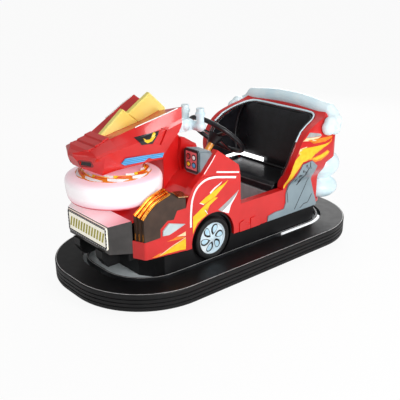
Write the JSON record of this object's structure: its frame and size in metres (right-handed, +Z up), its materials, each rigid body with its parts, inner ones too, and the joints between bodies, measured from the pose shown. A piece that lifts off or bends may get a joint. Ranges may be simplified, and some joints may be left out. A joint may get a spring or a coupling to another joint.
{
  "type": "bumper car",
  "caption": "Battery bumper car for riders side by side: oval rubber bumper, moulded body with a dragon's head over a round lamp, bench seat and a steered drive wheel.",
  "frame": {"origin": "on the floor under the middle of the bumper", "axes": "+X forward, +Y to the car's left, +Z up"},
  "size_m": [1.95, 1, 1.056],
  "materials": {
    "bumper_rubber": "moulded, slightly worn",
    "deck_steel": "powder coated",
    "chassis_steel": "powder coated",
    "strip_light": "diffusing",
    "black_skirt": "moulded",
    "red_gelcoat": "polished gelcoat",
    "grey_mat": "ribbed",
    "seat_vinyl": "smooth grained",
    "bronze_trim": "metallic",
    "lens_grey": "smooth",
    "nose_black": "satin",
    "plate_white": "smooth",
    "horn_yellow": "polished gelcoat",
    "eye_black": "smooth",
    "teeth_blue": "smooth",
    "lamp_white": "diffusing",
    "flame_orange": "printed",
    "pale_blue": "smooth",
    "control_grey": "powder coated",
    "plate_grey": "satin",
    "cloud_blue": "polished gelcoat",
    "tyre_black": "matt",
    "rim_pale": "printed",
    "grip_black": "smooth",
    "jacket_orange": "gloss",
    "battery_grey": "moulded"
  },
  "bodies": {
    "chassis": {"bumper_ring": "bumper_rubber", "chassis_deck": "deck_steel", "deck_hoop": "deck_steel", "light_bars": "strip_light", "skirt": "black_skirt", "hood": "red_gelcoat", "rear_tub": "red_gelcoat", "floor_pan": "grey_mat", "seat_box": "grey_mat", "seat_cushion": "seat_vinyl", "seat_back": "seat_vinyl", "headlights": "lens_grey", "grille_box": "nose_black", "number_plate": "plate_white", "chin": "black_skirt", "tow_feet": "black_skirt", "dragon_head": "red_gelcoat", "front_horn": "horn_yellow", "rear_horn": "horn_yellow", "eyes": "eye_black", "teeth": "teeth_blue", "neck": "red_gelcoat", "lamp_drum": "lamp_white", "lamp_stand": "nose_black", "flame_wreath": "flame_orange", "light_stacks": "pale_blue", "control_box": "control_grey", "cloud_collar": "cloud_blue", "cloud_puffs": "cloud_blue", "column_jacket": "jacket_orange", "pedal": "chassis_steel", "steering_bridge": "chassis_steel", "rear_axle": "chassis_steel", "battery": "battery_grey", "body_side_left": "red_gelcoat", "side_lining_left": "seat_vinyl", "cheek_left": "red_gelcoat", "claw_left": "bronze_trim", "machine_plate_left": "plate_grey", "side_tyre_left": "tyre_black", "side_rim_left": "rim_pale", "body_side_right": "red_gelcoat", "side_lining_right": "seat_vinyl", "cheek_right": "red_gelcoat", "claw_right": "bronze_trim", "machine_plate_right": "plate_grey", "side_tyre_right": "tyre_black", "side_rim_right": "rim_pale"},
    "steering": {"steering_wheel": "grip_black"},
    "fork": {"front_fork": "chassis_steel"},
    "drive_wheel": {"drive_wheel": "tyre_black"},
    "rear_wheel_left": {"rear_wheel_left": "tyre_black"},
    "rear_wheel_right": {"rear_wheel_right": "tyre_black"}
  },
  "joints": [
    {"name": "steering_turn", "type": "hinge", "parent": "chassis", "child": "steering", "pos_m": [-0.054, 0, 0.745], "axis": [-0.6691, 0, 0.7431], "range_deg": [-180, 180]},
    {"name": "fork_turn", "type": "hinge", "parent": "chassis", "child": "fork", "pos_m": [0.43, 0, 0.105], "axis": [0, 0, 1], "range_deg": [-180, 180]},
    {"name": "drive_wheel_spin", "type": "hinge", "parent": "fork", "child": "drive_wheel", "pos_m": [0.43, 0, 0.105], "axis": [0, 1, 0], "continuous": true},
    {"name": "rear_left_spin", "type": "hinge", "parent": "chassis", "child": "rear_wheel_left", "pos_m": [-0.5, 0.215, 0.1], "axis": [0, 1, 0], "continuous": true},
    {"name": "rear_right_spin", "type": "hinge", "parent": "chassis", "child": "rear_wheel_right", "pos_m": [-0.5, -0.215, 0.1], "axis": [0, 1, 0], "continuous": true}
  ],
  "couplings": [
    {"joint": "steering_turn", "follows": "fork_turn", "ratio": 1}
  ]
}
